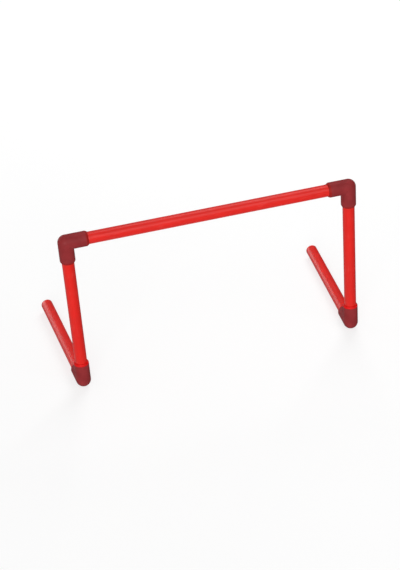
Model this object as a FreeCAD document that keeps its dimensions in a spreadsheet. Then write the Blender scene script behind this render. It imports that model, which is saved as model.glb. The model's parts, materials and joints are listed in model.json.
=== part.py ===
import FreeCAD, Part
import Sketcher
import os

# A speed hurdle: a crossbar on two uprights, with a foot running back from the bottom of each upright.
# Five red plastic tubes are pushed into four dark elbows. The fits are dry, so it folds and comes apart.
# Millimetres and degrees. +X runs along the crossbar, +Y back along the feet and +Z up.
# The origin is on the floor, at the centre of the footprint.

# The sizes that can be set by themselves.
SET_SIZES = (
    # the tube, alike in all five pieces
    ("tube_diameter", "21.3"),
    ("tube_wall", "2"),
    ("tube_deburr", "0.4"),
    # the frame, from tube axis to tube axis, and how far each foot turns outward
    ("upright_spacing", "500"),
    ("bar_rise", "281"),
    ("foot_reach", "263"),
    ("toe_out", "3.4"),
    # the elbow, alike in all four places, with two equal legs
    ("socket_clearance", "0.08"),
    ("socket_wall", "2.57"),
    ("socket_depth", "25"),
    # the ledge that stops a tube in its socket, and how far that is from the other tube's line
    ("stop_ledge", "2.65"),
    ("stop_margin", "2.5"),
    # the socket's mouth: a long taper outside, a short one inside and the lip that is left between them
    ("mouth_taper_length", "3"),
    ("mouth_lip", "0.5"),
    ("mouth_lead_in", "0.4"),
)

# The sizes that follow from those.
WORKED_SIZES = (
    ("tube_radius", "=tube_diameter / 2"),
    ("tube_bore_radius", "=tube_radius - tube_wall"),
    ("tube_end_radius", "=tube_radius - tube_deburr"),
    ("socket_radius", "=tube_radius + socket_clearance"),
    ("barrel_radius", "=socket_radius + socket_wall"),
    ("channel_radius", "=tube_radius - stop_ledge"),
    ("lead_in_radius", "=socket_radius + mouth_lead_in"),
    ("lip_radius", "=lead_in_radius + mouth_lip"),
    # along the elbow's legs, from the point where its two axes cross
    ("stop_distance", "=tube_radius + stop_margin"),
    ("leg_length", "=stop_distance + socket_depth"),
    # each tube fills the space between the stops at its ends
    ("bar_length", "=upright_spacing - 2 * stop_distance"),
    ("upright_length", "=bar_rise - 2 * stop_distance"),
    ("foot_length", "=foot_reach - stop_distance"),
    # heights above the floor, on which the lower elbows lie
    ("foot_height", "=barrel_radius"),
    ("upright_foot_height", "=foot_height + stop_distance"),
    ("bar_height", "=foot_height + bar_rise"),
    # the footprint, from the front of the elbows to the rear of the feet
    ("toe_cosine", "=cos(toe_out * 1 deg)"),
    ("toe_sine", "=sin(toe_out * 1 deg)"),
    ("foot_back", "=foot_reach * toe_cosine + tube_end_radius * toe_sine"),
    ("upright_setback", "=(barrel_radius - foot_back) / 2"),
    ("upright_offset", "=upright_spacing / 2"),
    ("foot_start_back", "=upright_setback + stop_distance * toe_cosine"),
    ("foot_start_aside", "=upright_offset + stop_distance * toe_sine"),
)

# Turns that lay a piece along its place in the frame.
ALONG_BAR = "rotation(vector(0; 1; 0); 90)"
LYING_BACK = "rotation(vector(1; 0; 0); -90)"
HALF_ROUND = "rotation(vector(0; 0; 1); 180)"
UNTURNED = "rotation(vector(0; 0; 1); 0)"

# An elbow's legs: the way each points in the elbow's own frame, and the axis that its outlines spin round.
LEGS = (("Z", "V_Axis"), ("X", "H_Axis"))

doc = FreeCAD.newDocument("speed_hurdle")
sheet = doc.addObject("Spreadsheet::Sheet", "Sizes")
for row, (alias, text) in enumerate(SET_SIZES + WORKED_SIZES, start=1):
    sheet.set(f"A{row}", alias)
    sheet.set(f"B{row}", text)
    sheet.setAlias(f"B{row}", alias)
    doc.recompute()


def value_of(expression):
    """The number that an expression in the sheet's aliases comes to now."""
    return float(sheet.evalExpression(expression))


def bound(expression):
    """The same expression, as an object outside the sheet writes it."""
    words = expression.split(" ")
    return " ".join(f"Sizes.{word}" if word.isidentifier() else word for word in words)


def new_body(label):
    body = doc.addObject("PartDesign::Body", label)
    body.Label = label
    return body


def draw_outline(body, name, corners):
    """A closed outline of straight lines in the body's XZ plane, each corner held by two expressions."""
    sketch = body.newObject("Sketcher::SketchObject", name)
    upright_plane = next(plane for plane in body.Origin.OriginFeatures if plane.Role == "XZ_Plane")
    sketch.AttachmentSupport = [(upright_plane, "")]
    sketch.MapMode = "FlatFace"
    places = [FreeCAD.Vector(value_of(across), value_of(along), 0) for across, along in corners]
    for start, end in zip(places, places[1:] + places[:1]):
        sketch.addGeometry(Part.LineSegment(start, end), False)
    count = len(corners)
    start_point, end_point = 1, 2
    x_axis, y_axis, origin = -1, -2, -1
    for line in range(count):
        joined = Sketcher.Constraint("Coincident", line, end_point, (line + 1) % count, start_point)
        sketch.addConstraint(joined)
    for line, (across, along) in enumerate(corners):
        for kind, expression, place, axis in (
            ("DistanceX", across, places[line].x, y_axis),
            ("DistanceY", along, places[line].y, x_axis),
        ):
            if expression == "0":
                sketch.addConstraint(Sketcher.Constraint("PointOnObject", line, start_point, axis))
                continue
            held = Sketcher.Constraint(kind, origin, start_point, line, start_point, place)
            number = sketch.addConstraint(held)
            sketch.setExpression(f"Constraints[{number}]", bound(expression))
    doc.recompute()
    return sketch


def spin(body, kind, name, sketch, axis):
    """Turns an outline all the way round one of its own axes, to add or to cut."""
    feature = body.newObject(f"PartDesign::{kind}", name)
    feature.Profile = sketch
    feature.ReferenceAxis = (sketch, [axis])
    doc.recompute()
    return feature


def swapped(corners):
    """The same outline drawn along the other axis."""
    return tuple((along, across) for across, along in corners)


def place(body, across, back, height, turn):
    """Ties a body's place to the sheet."""
    point = f"vector({bound(across)}; {bound(back)}; {bound(height)})"
    body.setExpression("Placement", f"placement({point}; {turn})")


def make_tube(label, length):
    """A plain tube that stands on its own origin, with the edges of its sawn ends broken."""
    body = new_body(label)
    corners = (
        ("tube_bore_radius", "0"),
        ("tube_end_radius", "0"),
        ("tube_radius", "tube_deburr"),
        ("tube_radius", f"{length} - tube_deburr"),
        ("tube_end_radius", length),
        ("tube_bore_radius", length),
    )
    spin(body, "Revolution", "Wall", draw_outline(body, "WallOutline", corners), "V_Axis")
    return body


def make_elbow(label):
    """An elbow with its legs along its own +Z and +X and its corner at its origin."""
    body = new_body(label)
    barrel = (
        ("0", "0"),
        ("barrel_radius", "0"),
        ("barrel_radius", "leg_length - mouth_taper_length"),
        ("lip_radius", "leg_length"),
        ("0", "leg_length"),
    )
    for leg, axis in LEGS:
        corners = swapped(barrel) if leg == "X" else barrel
        spin(body, "Revolution", f"Barrel{leg}", draw_outline(body, f"BarrelOutline{leg}", corners), axis)
    heel = body.newObject("PartDesign::AdditiveSphere", "Heel")
    heel.setExpression("Radius", "Sizes.barrel_radius")
    doc.recompute()
    bore = (
        ("0", "0"),
        ("channel_radius", "0"),
        ("channel_radius", "stop_distance"),
        ("socket_radius", "stop_distance"),
        ("socket_radius", "leg_length - mouth_lead_in"),
        ("lead_in_radius", "leg_length"),
        ("0", "leg_length"),
    )
    for leg, axis in LEGS:
        before = body.Shape.Volume
        corners = swapped(bore) if leg == "X" else bore
        spin(body, "Groove", f"Socket{leg}", draw_outline(body, f"SocketOutline{leg}", corners), axis)
        if body.Shape.Volume >= before:
            raise RuntimeError(f"{label}: the socket along {leg} cut nothing")
    bend = body.newObject("PartDesign::SubtractiveSphere", "Bend")
    bend.setExpression("Radius", "Sizes.channel_radius")
    doc.recompute()
    return body


bodies = [make_tube("crossbar_tube", "bar_length")]
place(bodies[-1], "0 - bar_length / 2", "upright_setback", "bar_height", ALONG_BAR)

for side, sign in (("left", "-1"), ("right", "1")):
    upright_across = f"{sign} * upright_offset"
    # seen from above, the left foot turns anticlockwise to point outward and the right foot clockwise
    outward = f"{sign} * -1 * Sizes.toe_out"

    upright = make_tube(f"{side}_upright_tube", "upright_length")
    place(upright, upright_across, "upright_setback", "upright_foot_height", UNTURNED)

    foot = make_tube(f"{side}_foot_tube", "foot_length")
    foot_turn = f"rotation(vector(0; 0; 1); {outward}) * {LYING_BACK}"
    place(foot, f"{sign} * foot_start_aside", "foot_start_back", "foot_height", foot_turn)

    # one leg takes the crossbar and the other hangs down over the upright
    top_elbow = make_elbow(f"{side}_top_elbow")
    top_turn = ALONG_BAR if side == "left" else f"{HALF_ROUND} * {ALONG_BAR}"
    place(top_elbow, upright_across, "upright_setback", "bar_height", top_turn)

    # one leg stands up round the upright and the other runs back
    lower_elbow = make_elbow(f"{side}_lower_elbow")
    lower_turn = f"rotation(vector(0; 0; 1); 90 + {outward})"
    place(lower_elbow, upright_across, "upright_setback", "foot_height", lower_turn)

    bodies += [upright, foot, top_elbow, lower_elbow]

doc.recompute()
for item in doc.Objects:
    if "Invalid" in item.State or "Error" in item.State:
        raise RuntimeError(f"{item.Label} failed: {item.State}")
for body in bodies:
    if body.Shape.isNull() or not body.Shape.isValid() or len(body.Shape.Solids) != 1:
        raise RuntimeError(f"{body.Label} has no single valid solid")

os.makedirs("parts", exist_ok=True)
for body in bodies:
    body.Shape.exportStep(f"parts/{body.Label}.step")
    box = body.Shape.BoundBox
    print(
        f"{body.Label}: {body.Shape.Volume:.0f} mm3, x {box.XMin:.2f} to {box.XMax:.2f},"
        f" y {box.YMin:.2f} to {box.YMax:.2f}, z {box.ZMin:.2f} to {box.ZMax:.2f}"
    )
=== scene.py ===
import json
import math
from collections import namedtuple

import bmesh
import bpy
from mathutils import Color, Matrix, Vector

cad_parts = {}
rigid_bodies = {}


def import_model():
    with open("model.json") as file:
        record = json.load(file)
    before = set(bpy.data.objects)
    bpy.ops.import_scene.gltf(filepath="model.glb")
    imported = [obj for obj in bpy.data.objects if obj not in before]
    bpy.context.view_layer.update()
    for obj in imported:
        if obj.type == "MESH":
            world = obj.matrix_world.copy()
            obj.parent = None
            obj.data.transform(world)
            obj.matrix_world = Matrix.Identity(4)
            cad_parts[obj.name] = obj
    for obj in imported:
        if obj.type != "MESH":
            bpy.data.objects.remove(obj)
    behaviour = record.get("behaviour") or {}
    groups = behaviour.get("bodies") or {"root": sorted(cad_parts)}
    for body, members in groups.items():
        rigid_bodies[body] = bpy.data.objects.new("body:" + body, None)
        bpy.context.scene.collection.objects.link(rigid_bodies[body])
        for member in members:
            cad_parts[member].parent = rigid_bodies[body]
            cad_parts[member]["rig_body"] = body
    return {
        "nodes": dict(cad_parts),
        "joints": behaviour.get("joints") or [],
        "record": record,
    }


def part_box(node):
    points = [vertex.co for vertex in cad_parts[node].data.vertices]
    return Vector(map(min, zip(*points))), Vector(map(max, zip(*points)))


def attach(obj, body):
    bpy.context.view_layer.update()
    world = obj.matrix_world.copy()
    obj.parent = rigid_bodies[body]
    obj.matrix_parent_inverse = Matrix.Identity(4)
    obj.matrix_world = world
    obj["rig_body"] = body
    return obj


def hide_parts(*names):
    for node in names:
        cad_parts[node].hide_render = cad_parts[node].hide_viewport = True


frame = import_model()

# A speed hurdle: five red plastic tubes pushed into four dark elbows, on a pale floor under soft light.
# Metres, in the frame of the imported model: +X along the crossbar, +Y back along the feet and +Z up.
MM = 0.001
SIDES = ("left", "right")
X_WAY, Z_WAY = Vector((1, 0, 0)), Vector((0, 0, 1))
WHITE = (1, 1, 1, 1)

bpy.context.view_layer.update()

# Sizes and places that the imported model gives.
joints = {joint["name"]: joint for joint in frame["joints"]}
bore = frame["record"]["mounts"][0]["dims"]
bar_low, bar_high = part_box("crossbar_tube")
upright_low, upright_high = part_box("left_upright_tube")
_, top_elbow_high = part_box("left_top_elbow")
top_corner = {side: Vector(joints[f"{side}_leg_swivel"]["pos_m"]) for side in SIDES}
low_corner = {side: Vector(joints[f"{side}_foot_swivel"]["pos_m"]) for side in SIDES}
foot_way = {side: Vector(joints[f"{side}_foot_pull"]["axis"]) for side in SIDES}
tube_radius = (upright_high.x - upright_low.x) / 2
bore_radius = bore["r_mm"] * MM
bar_length = bar_high.x - bar_low.x
upright_length = upright_high.z - upright_low.z
foot_length = bore["length_mm"] * MM
barrel_radius = low_corner["left"].z
stop_distance = upright_low.z - low_corner["left"].z
leg_length = top_elbow_high.x - top_corner["left"].x

# Small sizes of the tubes and elbows.
TUBE_DEBURR = 0.4 * MM
BORE_DEBURR = 0.2 * MM
SOCKET_CLEARANCE = 0.08 * MM
STOP_LEDGE = 2.65 * MM
LEDGE_GAP = 0.05 * MM
MOUTH_TAPER_LENGTH = 3 * MM
MOUTH_TAPER_ROUNDING = 2.4 * MM
MOUTH_LIP = 0.5 * MM
MOUTH_LIP_ROUNDING = 0.22 * MM
MOUTH_LEAD_IN = 0.4 * MM
CROTCH_ROUNDING = 1.2 * MM
CHANNEL_ROUNDING = 0.4 * MM
SEAM_HEIGHT = 0.07 * MM
SEAM_HALF_WIDTH = 0.5 * MM

socket_radius = tube_radius + SOCKET_CLEARANCE
lead_in_radius = socket_radius + MOUTH_LEAD_IN
lip_radius = lead_in_radius + MOUTH_LIP
channel_radius = tube_radius - STOP_LEDGE
ledge_distance = stop_distance - LEDGE_GAP
barrel_end = leg_length - MOUTH_TAPER_LENGTH
seam_end = barrel_end - MOUTH_TAPER_ROUNDING

# How finely the meshes are divided, and how their points are joined and their edges shaded.
SIDES_ROUND = 96
STEPS_IN_ROUNDING = 4
STEPS_IN_BEND = 14
LONGEST_RUN = 12 * MM
WELD_DISTANCE = 0.001 * MM
SHARP_ANGLE = math.radians(40)

# The angles round a tube. An elbow has more, by its seams on the inside and outside of the bend.
EVEN_TURNS = [math.tau * step / SIDES_ROUND for step in range(SIDES_ROUND)]
SEAM_TURNS = (math.pi / 2, math.pi * 3 / 2)
SEAM_SHARES = (-1, -0.5, 0.5, 1)

# Where an elbow's barrel has rings, as shares of the way from its bend to its mouth.
BARREL_SHARES = (1 / 3, 2 / 3)


def even_shares(steps):
    """The numbers from 0 to 1 in a number of even steps."""
    return [step / steps for step in range(steps + 1)]


def arc_corner(before, corner, after, radius):
    """The points that round off one corner of an outline, or the corner itself where the radius is zero."""
    if radius == 0:
        return [corner]
    back, ahead = before - corner, after - corner
    half_angle = back.angle(ahead) / 2
    reach = min(radius / math.tan(half_angle), back.length / 2, ahead.length / 2)
    start, end = corner + back.normalized() * reach, corner + ahead.normalized() * reach
    middle_way = (back.normalized() + ahead.normalized()).normalized()
    centre = corner + middle_way * reach / math.cos(half_angle)
    arm = reach * math.tan(half_angle)
    on_chord = [start.lerp(end, share) for share in even_shares(STEPS_IN_ROUNDING)]
    return [centre + (point - centre).normalized() * arm for point in on_chord]


def soften(corners, closed):
    """An outline of (radius, height) points, from corners that each have a rounding radius."""
    points = [Vector((radius, height)) for radius, height, _ in corners]
    softened = []
    for number, (point, corner) in enumerate(zip(points, corners)):
        at_end = number in (0, len(points) - 1)
        rounding = 0 if at_end and not closed else corner[2]
        softened += arc_corner(points[number - 1], point, points[(number + 1) % len(points)], rounding)
    return softened


def divide(outline, closed):
    """The same outline with points added along its long straight runs."""
    divided = []
    ends = outline[1:] + (outline[:1] if closed else [])
    for start, end in zip(outline, ends):
        count = max(1, math.ceil((end - start).length / LONGEST_RUN))
        divided += [start.lerp(end, step / count) for step in range(count)]
    return divided if closed else divided + outline[-1:]


def skin(name, rings):
    """A closed mesh over a loop of rings that all have the same number of points."""
    count = len(rings[0])
    points = [point for ring in rings for point in ring]
    faces = []
    for row in range(len(rings)):
        here, there = row * count, (row + 1) % len(rings) * count
        for place in range(count):
            beside = (place + 1) % count
            faces.append((here + place, here + beside, there + beside, there + place))
    mesh = bpy.data.meshes.new(name)
    mesh.from_pydata(points, [], faces)
    shape = bmesh.new()
    shape.from_mesh(mesh)
    bmesh.ops.remove_doubles(shape, verts=shape.verts, dist=WELD_DISTANCE)
    bmesh.ops.recalc_face_normals(shape, faces=shape.faces)
    shape.to_mesh(mesh)
    shape.free()
    mesh.shade_smooth()
    mesh.set_sharp_from_angle(angle=SHARP_ANGLE)
    piece = bpy.data.objects.new(name, mesh)
    bpy.context.scene.collection.objects.link(piece)
    return piece


def dress(piece, node, place, material):
    """Puts a piece where its node is, to move with the same body and be seen in its stead."""
    piece.matrix_world = place
    piece.data.materials.append(material)
    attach(piece, frame["nodes"][node]["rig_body"])
    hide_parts(node)


def make_tube(name, length):
    """A tube along its own +Z, with its edges broken inside and out."""
    outline = soften(
        (
            (bore_radius, 0, BORE_DEBURR),
            (tube_radius, 0, TUBE_DEBURR),
            (tube_radius, length, TUBE_DEBURR),
            (bore_radius, length, BORE_DEBURR),
        ),
        closed=True,
    )
    rings = [
        [Vector((point.x * math.cos(turn), point.x * math.sin(turn), point.y)) for turn in EVEN_TURNS]
        for point in divide(outline, closed=True)
    ]
    return skin(name, rings)


def elbow_turns():
    """The angles round an elbow's legs, closer together along the two mould seams."""
    half_seam = SEAM_HALF_WIDTH / barrel_radius
    return sorted(EVEN_TURNS + [seam + share * half_seam for seam in SEAM_TURNS for share in SEAM_SHARES])


def seam_height(turn):
    """How far the mould seam stands up at an angle round the leg."""
    off_seam = min(abs(turn - seam) for seam in SEAM_TURNS) * barrel_radius
    return SEAM_HEIGHT * max(0, 1 - off_seam / SEAM_HALF_WIDTH)


def x_leg_point(radius, distance, turn):
    """A point on the elbow's X leg, at a distance from the corner and an angle round the leg."""
    return Vector((distance, radius * math.cos(turn), radius * math.sin(turn)))


def z_leg_point(radius, distance, turn):
    """A point on the elbow's Z leg, at a distance from the corner and an angle round the leg."""
    return Vector((radius * math.sin(turn), radius * math.cos(turn), distance))


def bend_point(radius, rounding, share, turn, proud=0):
    """A point on the elbow's bend, a share of the way from its X leg to its Z leg.

    The outside of the bend is part of a ball and the inside is a fillet of the given rounding.
    """
    swing = share * math.pi / 2
    outward = Vector((math.sin(turn) * math.sin(swing), math.cos(turn), math.sin(turn) * math.cos(swing)))
    inside = max(0, math.sin(turn))
    middle = Vector((1, 0, 1)) * inside * (radius + rounding)
    arm = Vector((outward.x, 0, outward.z)) * (-rounding if inside else radius)
    return middle + arm + Vector((0, radius * math.cos(turn), 0)) + outward * proud


def barrel_ring(point_on_leg, turns, share):
    """A ring round an elbow's barrel, a share of the way from the bend to where the seam ends."""
    ring = []
    for turn in turns:
        start = max(0, math.sin(turn)) * (barrel_radius + CROTCH_ROUNDING)
        distance = start + (seam_end - start) * share
        ring.append(point_on_leg(barrel_radius + seam_height(turn), distance, turn))
    return ring


def leg_rings(point_on_leg, turns):
    """The rings along an elbow's leg, out over its barrel and back in through its mouth to the channel."""
    outline = soften(
        (
            (barrel_radius, seam_end, 0),
            (barrel_radius, barrel_end, MOUTH_TAPER_ROUNDING),
            (lip_radius, leg_length, MOUTH_LIP_ROUNDING),
            (lead_in_radius, leg_length, MOUTH_LIP_ROUNDING),
            (socket_radius, leg_length - MOUTH_LEAD_IN, 0),
            (socket_radius, ledge_distance, 0),
            (channel_radius, ledge_distance, 0),
        ),
        closed=False,
    )
    barrel = [barrel_ring(point_on_leg, turns, share) for share in BARREL_SHARES]
    mouth = [
        [point_on_leg(point.x, point.y, turn) for turn in turns] for point in divide(outline, closed=False)
    ]
    return barrel + mouth


def make_elbow(name):
    """An elbow with its legs along its own +X and +Z and its corner at its origin."""
    turns = elbow_turns()
    shares = even_shares(STEPS_IN_BEND)
    outside = [
        [bend_point(barrel_radius, CROTCH_ROUNDING, share, turn, seam_height(turn)) for turn in turns]
        for share in shares
    ]
    inside = [
        [bend_point(channel_radius, CHANNEL_ROUNDING, share, turn) for turn in turns] for share in shares
    ]
    x_leg, z_leg = leg_rings(x_leg_point, turns), leg_rings(z_leg_point, turns)
    return skin(name, outside + z_leg + inside[::-1] + x_leg[::-1])


class Nodes:
    """One tree of shading nodes, with short ways to add the kinds that are used here."""

    def __init__(self, tree):
        self.tree = tree
        coordinates = self.add("ShaderNodeTexCoord")
        self.place = coordinates.outputs["Object"]
        self.facing = coordinates.outputs["Normal"]
        self.way = coordinates.outputs["Generated"]

    def add(self, kind, **settings):
        """A new node with some of its settings."""
        node = self.tree.nodes.new(kind)
        for setting, value in settings.items():
            setattr(node, setting, value)
        return node

    def feed(self, socket, value):
        """Sets a socket, or links it where the value is another node's output."""
        if isinstance(value, bpy.types.NodeSocket):
            self.tree.links.new(value, socket)
        else:
            socket.default_value = value

    def parts(self, vector):
        """The X, Y and Z of a vector."""
        node = self.add("ShaderNodeSeparateXYZ")
        self.feed(node.inputs["Vector"], vector)
        return node.outputs

    def noise(self, size, stretch=(1, 1, 1), detail=3):
        """Soft noise with features of about the given size, longer along the axes with a large stretch."""
        scaled = self.add("ShaderNodeMapping")
        self.feed(scaled.inputs["Vector"], self.place)
        scaled.inputs["Scale"].default_value = [1 / (size * share) for share in stretch]
        node = self.add("ShaderNodeTexNoise")
        self.feed(node.inputs["Vector"], scaled.outputs["Vector"])
        node.inputs["Scale"].default_value = 1
        node.inputs["Detail"].default_value = detail
        return node.outputs["Fac"]

    def ease(self, value, low, high, to_low=0.0, to_high=1.0):
        """Runs smoothly from one number to another as the value goes from low to high."""
        node = self.add("ShaderNodeMapRange", interpolation_type="SMOOTHSTEP")
        sockets = ("Value", "From Min", "From Max", "To Min", "To Max")
        for socket, number in zip(sockets, (value, low, high, to_low, to_high)):
            self.feed(node.inputs[socket], number)
        return node.outputs["Result"]

    def math(self, operation, first, second=0.0):
        """The outcome of an operation on one or two numbers."""
        node = self.add("ShaderNodeMath", operation=operation)
        self.feed(node.inputs[0], first)
        self.feed(node.inputs[1], second)
        return node.outputs["Value"]

    def blend(self, share, first, second):
        """One colour turning into another as the share goes from 0 to 1."""
        node = self.add("ShaderNodeMix", data_type="RGBA")
        self.feed(node.inputs["Factor"], share)
        self.feed(node.inputs["A"], first)
        self.feed(node.inputs["B"], second)
        return node.outputs["Result"]

    def for_camera(self, unseen, seen):
        """One number for the camera's own rays and another for all the rest."""
        node = self.add("ShaderNodeMix")
        self.feed(node.inputs["Factor"], self.add("ShaderNodeLightPath").outputs["Is Camera Ray"])
        self.feed(node.inputs["A"], unseen)
        self.feed(node.inputs["B"], seen)
        return node.outputs["Result"]

    def relief(self, height, depth, under=None):
        """Bumps of the given depth in metres, on top of other bumps."""
        node = self.add("ShaderNodeBump")
        node.inputs["Distance"].default_value = depth
        self.feed(node.inputs["Height"], height)
        if under:
            self.feed(node.inputs["Normal"], under)
        return node.outputs["Normal"]


class Shade(Nodes):
    """A new material and its nodes."""

    def __init__(self, name):
        self.material = bpy.data.materials.new(name)
        self.material.use_nodes = True
        self.shader = self.material.node_tree.nodes["Principled BSDF"]
        super().__init__(self.material.node_tree)


def linear(*levels):
    """A colour given as it looks on a screen, from 0 to 255, as the renderer takes it."""
    on_screen = Color([level / 255 for level in levels])
    return (*on_screen.from_srgb_to_scene_linear(), 1)


# Noise runs from 0 to 1. Nearly all of it lies in this span, evenly about the middle.
NOISE_SPAN = (0.3, 0.7)
NOISE_MIDDLE = 0.5

# The tubes' plastic: its colours and the noises that mark it.
RED_DEEP, RED_BRIGHT = linear(228, 18, 2), linear(238, 22, 6)
RED_STREAK = linear(208, 15, 4)
RED_RUBBED = linear(236, 92, 84)
RED_SAWN = linear(222, 66, 58)
STREAKS = {"size": 0.9 * MM, "stretch": (1, 1, 160), "detail": 2}
RIPPLE = {"size": 7 * MM, "detail": 2}
RED_CLOUD = {"size": 45 * MM}
RUBS = {"size": 2.2 * MM, "stretch": (1, 1, 9), "detail": 5}
RUB_PATCHES = {"size": 30 * MM, "detail": 2}
SAW_LINES = {"size": 0.3 * MM, "stretch": (20, 1, 20), "detail": 2}

# Where on the noise each mark sets in and is full, and how far a face looks along the tube if it is sawn.
STREAK_SPAN = (0.35, 0.75)
RUB_SPAN = (0.55, 0.7)
RUB_PATCH_SPAN = (0.45, 0.65)
SAWN_SPAN = (0.8, 0.95)

# How much the marks colour the tube, how rough it is, what they add to that, and how deep they are.
STREAK_SHARE, RUB_SHARE, SAWN_SHARE = 0.4, 0.25, 0.6
TUBE_ROUGHNESS = (0.3, 0.38)
RUB_ROUGHNESS, SAWN_ROUGHNESS = 0.2, 0.35
STREAK_DEPTH, RIPPLE_DEPTH, SAW_DEPTH = 0.006 * MM, 0.07 * MM, 0.06 * MM


def red_tube_material():
    """Extruded satin plastic: fine lines along the tube, rubbed patches, and rough sawn ends."""
    shade = Shade("red_extruded_plastic")
    streaks = shade.noise(**STREAKS)
    rubs = shade.ease(shade.noise(**RUBS), *RUB_SPAN)
    patches = shade.ease(shade.noise(**RUB_PATCHES), *RUB_PATCH_SPAN)
    rubbed = shade.math("MULTIPLY", rubs, patches)
    sawn = shade.ease(shade.math("ABSOLUTE", shade.parts(shade.facing)["Z"]), *SAWN_SPAN)
    saw_lines = shade.math("MULTIPLY", shade.noise(**SAW_LINES), sawn)

    red = shade.blend(shade.ease(shade.noise(**RED_CLOUD), *NOISE_SPAN), RED_DEEP, RED_BRIGHT)
    lines = shade.math("MULTIPLY", shade.ease(streaks, *STREAK_SPAN), STREAK_SHARE)
    red = shade.blend(lines, red, RED_STREAK)
    red = shade.blend(shade.math("MULTIPLY", rubbed, RUB_SHARE), red, RED_RUBBED)
    red = shade.blend(shade.math("MULTIPLY", sawn, SAWN_SHARE), red, RED_SAWN)
    shade.feed(shade.shader.inputs["Base Color"], red)

    rough = shade.ease(streaks, *NOISE_SPAN, *TUBE_ROUGHNESS)
    rough = shade.math("ADD", rough, shade.math("MULTIPLY", rubbed, RUB_ROUGHNESS))
    rough = shade.math("ADD", rough, shade.math("MULTIPLY", sawn, SAWN_ROUGHNESS))
    shade.feed(shade.shader.inputs["Roughness"], rough)

    bumps = shade.relief(streaks, STREAK_DEPTH)
    bumps = shade.relief(shade.noise(**RIPPLE), RIPPLE_DEPTH, bumps)
    bumps = shade.relief(saw_lines, SAW_DEPTH, bumps)
    shade.feed(shade.shader.inputs["Normal"], bumps)
    return shade.material


# The elbows' plastic: its colours and the noises that mark it.
MAROON_DEEP, MAROON_BRIGHT = linear(139, 39, 42), linear(154, 47, 50)
MAROON_PIT = linear(124, 34, 37)
MAROON_SCUFFED = linear(170, 96, 94)
# The lip colours: a redder lip with painted light in it, brighter as a painted highlight on the lower
# elbows, whose mouths face up to the light, and darker as painted shade on the top elbows, whose mouths
# face down.
TOP_LIP_PAINTED_SHADE, LOWER_LIP_PAINTED_HIGHLIGHT = linear(158, 26, 24), linear(226, 12, 13)
GRAIN = {"size": 0.45 * MM, "detail": 2}
LEATHER = {"size": 1.3 * MM, "detail": 2}
MAROON_CLOUD = {"size": 16 * MM, "detail": 4}
LIP_WAVES = {"size": 5 * MM}
SCRATCHES = {"size": 1.2 * MM, "stretch": (6, 1, 1), "detail": 5}

# The redder lip, which also carries painted highlight and painted shade: how far it reaches from the mouth,
# how soft its edge is and how much that edge wavers.
LIP_TINT_LENGTH = 3.75 * MM
LIP_TINT_EDGE = 0.5 * MM
LIP_TINT_WAVER = 0.5 * MM
lip_start = leg_length - LIP_TINT_LENGTH

# Where on the noise each mark sets in and is full, and how far under the corner the heel's scuffs do so.
MAROON_SPAN = (0.25, 0.75)
PIT_SPAN = (0.4, 0.7)
SCRATCH_SPAN = (0.58, 0.7)
HEEL_SPAN = (-barrel_radius * 0.55, -barrel_radius * 0.98)

# How much the marks colour the elbow, its shine and roughness, what scuffs add to that, and the depths.
PIT_SHARE, SCUFF_SHARE = 0.2, 0.4
ELBOW_SHINE = 0.18
ELBOW_ROUGHNESS = (0.46, 0.6)
SCUFF_ROUGHNESS = 0.15
GRAIN_DEPTH, LEATHER_DEPTH, CLOUD_DEPTH = 0.05 * MM, 0.15 * MM, 0.08 * MM


def maroon_elbow_material(name, lip_colour_and_painted_light):
    """Moulded matte plastic with a fine grain, redder at the thin lips, where the colour given for them
    holds painted light, and scuffed at the heel.
    """
    shade = Shade(name)
    grain = shade.noise(**GRAIN)
    cloud = shade.noise(**MAROON_CLOUD)
    place = shade.parts(shade.place)
    outermost = shade.math("MAXIMUM", place["X"], place["Z"])
    waves = shade.math("SUBTRACT", shade.noise(**LIP_WAVES), NOISE_MIDDLE)
    lip_reach = shade.math("ADD", outermost, shade.math("MULTIPLY", waves, LIP_TINT_WAVER))
    lips = shade.ease(lip_reach, lip_start - LIP_TINT_EDGE / 2, lip_start + LIP_TINT_EDGE / 2)
    scratches = shade.ease(shade.noise(**SCRATCHES), *SCRATCH_SPAN)
    scuffed = shade.math("MULTIPLY", scratches, shade.ease(place["Z"], *HEEL_SPAN))

    maroon = shade.blend(shade.ease(cloud, *MAROON_SPAN), MAROON_DEEP, MAROON_BRIGHT)
    pits = shade.math("MULTIPLY", shade.ease(grain, *PIT_SPAN), PIT_SHARE)
    maroon = shade.blend(pits, maroon, MAROON_PIT)
    # The lip colour: partly the lip's own red, partly painted light.
    maroon = shade.blend(lips, maroon, lip_colour_and_painted_light)
    maroon = shade.blend(shade.math("MULTIPLY", scuffed, SCUFF_SHARE), maroon, MAROON_SCUFFED)
    shade.feed(shade.shader.inputs["Base Color"], maroon)

    shade.shader.inputs["Specular IOR Level"].default_value = ELBOW_SHINE
    rough = shade.ease(grain, *NOISE_SPAN, *ELBOW_ROUGHNESS)
    rough = shade.math("ADD", rough, shade.math("MULTIPLY", scuffed, SCUFF_ROUGHNESS))
    shade.feed(shade.shader.inputs["Roughness"], rough)

    bumps = shade.relief(grain, GRAIN_DEPTH)
    bumps = shade.relief(shade.noise(**LEATHER), LEATHER_DEPTH, bumps)
    bumps = shade.relief(cloud, CLOUD_DEPTH, bumps)
    shade.feed(shade.shader.inputs["Normal"], bumps)
    return shade.material


def axis_place(start, way):
    """Where a tube lies that starts at a point and runs a given way."""
    turn = way.to_track_quat("Z", "Y").to_matrix().to_4x4()
    return Matrix.Translation(start) @ turn


def corner_place(corner, x_leg_way, z_leg_way):
    """Where an elbow lies, from its corner and the ways that its legs point."""
    turn = Matrix((x_leg_way, z_leg_way.cross(x_leg_way), z_leg_way)).transposed().to_4x4()
    return Matrix.Translation(corner) @ turn


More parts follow.
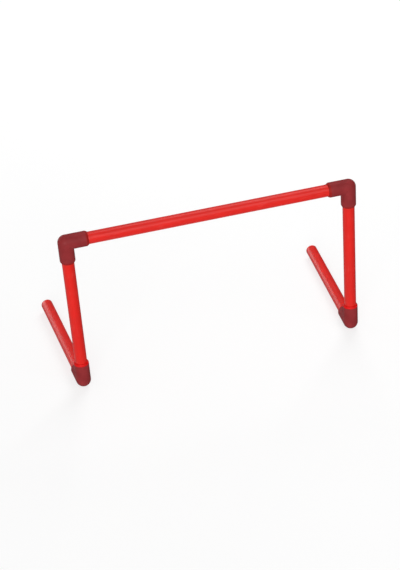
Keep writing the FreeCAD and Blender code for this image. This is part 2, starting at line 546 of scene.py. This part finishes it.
def build_hurdle():
    """The crossbar, and on each side the upright, the foot and the two elbows that hold them."""
    red = red_tube_material()
    # The top elbows' lip holds painted shade, the lower elbows' lip a painted highlight.
    top_maroon_painted_shade = maroon_elbow_material("maroon_plastic_top_lip_painted_shade", TOP_LIP_PAINTED_SHADE)
    lower_maroon_painted_highlight = maroon_elbow_material("maroon_plastic_lower_lip_painted_highlight", LOWER_LIP_PAINTED_HIGHLIGHT)
    bar_start = Vector((bar_low.x, top_corner["left"].y, top_corner["left"].z))
    crossbar = make_tube("crossbar_surface", bar_length)
    dress(crossbar, "crossbar_tube", axis_place(bar_start, X_WAY), red)
    for side, inward in zip(SIDES, (X_WAY, -X_WAY)):
        corner = low_corner[side]
        upright = make_tube(f"{side}_upright_surface", upright_length)
        upright_start = corner + Z_WAY * stop_distance
        dress(upright, f"{side}_upright_tube", axis_place(upright_start, Z_WAY), red)
        foot = make_tube(f"{side}_foot_surface", foot_length)
        foot_start = corner + foot_way[side] * stop_distance
        dress(foot, f"{side}_foot_tube", axis_place(foot_start, foot_way[side]), red)
        top_elbow = make_elbow(f"{side}_top_elbow_surface")
        top_place = corner_place(top_corner[side], -Z_WAY, inward)
        dress(top_elbow, f"{side}_top_elbow", top_place, top_maroon_painted_shade)
        lower_elbow = make_elbow(f"{side}_lower_elbow_surface")
        lower_place = corner_place(corner, foot_way[side], Z_WAY)
        dress(lower_elbow, f"{side}_lower_elbow", lower_place, lower_maroon_painted_highlight)


# The room: how strongly its left and its right light the hurdle, how far round to the right the one has
# turned into the other, as the sine of that angle, and how bright the camera sees it all.
ROOM_LEFT_LIGHT = 0.4
ROOM_RIGHT_LIGHT = 0.14
ROOM_TURN = 0.6
ROOM_BACKDROP = 0.98

# The floor: it lies just under the seams, glows, takes a share of the light, and turns into the backdrop
# further off. The dullest of its uneven spots take a little less light.
FLOOR_SIZE = 60
FLOOR_DROP = SEAM_HEIGHT
FLOOR_GLOW = 0.735
FLOOR_BOUNCE = 0.35
FLOOR_LIGHT_SHARE = 0.3
FLOOR_DULLEST = 0.97
FLOOR_SPOTS = {"size": 0.6}
FLOOR_ROUGHNESS = 0.9
FLOOR_FADE_START, FLOOR_FADE_END = 1.2, 3.5

# Soft square lights: the way to each, its distance, width and power, and whether matte and gloss use it.
SoftLight = namedtuple("SoftLight", "way distance width power on_matte on_gloss")
SOFT_LIGHTS = {
    "key": SoftLight(Vector((-0.32, -0.88, 0.34)), 6, 3.2, 184, on_matte=True, on_gloss=True),
    "front": SoftLight(Vector((0.3, -0.71, 0.64)), 3, 1.6, 11, on_matte=True, on_gloss=True),
    "overhead": SoftLight(Vector((0.27, 0.27, 0.93)), 3, 1.6, 17, on_matte=False, on_gloss=True),
    "back_left": SoftLight(Vector((-0.5, 0.85, 0.17)), 3, 1.6, 15, on_matte=False, on_gloss=True),
    "back_right": SoftLight(Vector((0.38, 0.66, 0.64)), 3, 1.6, 45, on_matte=True, on_gloss=False),
}

# The camera: the point it looks at, how far off and which way round it stands, and its lens.
CAMERA_AIM = Vector((-3.9 * MM, -30.4 * MM, 95.3 * MM))
CAMERA_DISTANCE = 2.797
CAMERA_AZIMUTH = math.radians(-13.17)
CAMERA_ELEVATION = math.radians(32.42)
CAMERA_ROLL = math.radians(-4.56)
CAMERA_LENS_MM = 97.26


def pale_floor_material():
    """A white sheet, a little uneven near the hurdle and one with the backdrop further off."""
    shade = Shade("pale_floor")
    from_middle = shade.add("ShaderNodeVectorMath", operation="LENGTH")
    shade.feed(from_middle.inputs["Vector"], shade.place)
    fade = (from_middle.outputs["Value"], FLOOR_FADE_START, FLOOR_FADE_END)
    dullest = FLOOR_LIGHT_SHARE * FLOOR_DULLEST
    uneven = shade.ease(shade.noise(**FLOOR_SPOTS), *NOISE_SPAN, dullest, FLOOR_LIGHT_SHARE)
    taken = shade.math("MULTIPLY", uneven, shade.ease(*fade, 1, 0))
    shade.feed(shade.shader.inputs["Base Color"], taken)
    shade.shader.inputs["Roughness"].default_value = FLOOR_ROUGHNESS
    shade.shader.inputs["Specular IOR Level"].default_value = 0

    glow = shade.for_camera(FLOOR_BOUNCE, shade.ease(*fade, FLOOR_GLOW, ROOM_BACKDROP))
    shade.shader.inputs["Emission Color"].default_value = WHITE
    shade.feed(shade.shader.inputs["Emission Strength"], glow)
    return shade.material


def build_floor():
    """A wide level sheet under the hurdle, which the plastic's gloss doesn't mirror."""
    mesh = bpy.data.meshes.new("floor")
    half = FLOOR_SIZE / 2
    corners = ((-half, -half), (half, -half), (half, half), (-half, half))
    mesh.from_pydata([(x, y, -FLOOR_DROP) for x, y in corners], [], [(0, 1, 2, 3)])
    floor = bpy.data.objects.new("floor", mesh)
    bpy.context.scene.collection.objects.link(floor)
    mesh.materials.append(pale_floor_material())
    floor.visible_glossy = False


def build_lights():
    """Soft studio light from the front, from above and from behind."""
    for name, soft in SOFT_LIGHTS.items():
        light = bpy.data.lights.new(name, "AREA")
        light.size = soft.width
        light.energy = soft.power
        # With this on, some of a light that is for matte alone would show in the gloss.
        light.cycles.use_multiple_importance_sampling = soft.on_gloss
        lamp = bpy.data.objects.new(name, light)
        lamp.matrix_world = axis_place(soft.way.normalized() * soft.distance, soft.way)
        lamp.visible_camera = False
        lamp.visible_diffuse, lamp.visible_glossy = soft.on_matte, soft.on_gloss
        bpy.context.scene.collection.objects.link(lamp)


def build_room():
    """A pale room all round, which the camera sees as an even backdrop."""
    room = bpy.data.worlds.new("room")
    room.use_nodes = True
    bpy.context.scene.world = room
    nodes = Nodes(room.node_tree)
    across = nodes.parts(nodes.way)["X"]
    light = nodes.ease(across, 0, ROOM_TURN, ROOM_LEFT_LIGHT, ROOM_RIGHT_LIGHT)
    background = room.node_tree.nodes["Background"]
    background.inputs["Color"].default_value = WHITE
    nodes.feed(background.inputs["Strength"], nodes.for_camera(light, ROOM_BACKDROP))


def build_camera():
    """A camera that sees the hurdle as in the photograph."""
    lens = bpy.data.cameras.new("camera")
    lens.lens = CAMERA_LENS_MM
    camera = bpy.data.objects.new("camera", lens)
    turn = (
        Matrix.Rotation(CAMERA_AZIMUTH, 4, "Z")
        @ Matrix.Rotation(math.pi / 2 - CAMERA_ELEVATION, 4, "X")
        @ Matrix.Rotation(CAMERA_ROLL, 4, "Z")
    )
    backward = turn.to_3x3() @ Z_WAY
    camera.matrix_world = Matrix.Translation(CAMERA_AIM + backward * CAMERA_DISTANCE) @ turn
    bpy.context.scene.collection.objects.link(camera)
    bpy.context.scene.camera = camera
    bpy.context.scene.view_settings.view_transform = "Standard"


build_hurdle()
build_floor()
build_lights()
build_room()
build_camera()

bpy.context.view_layer.update()
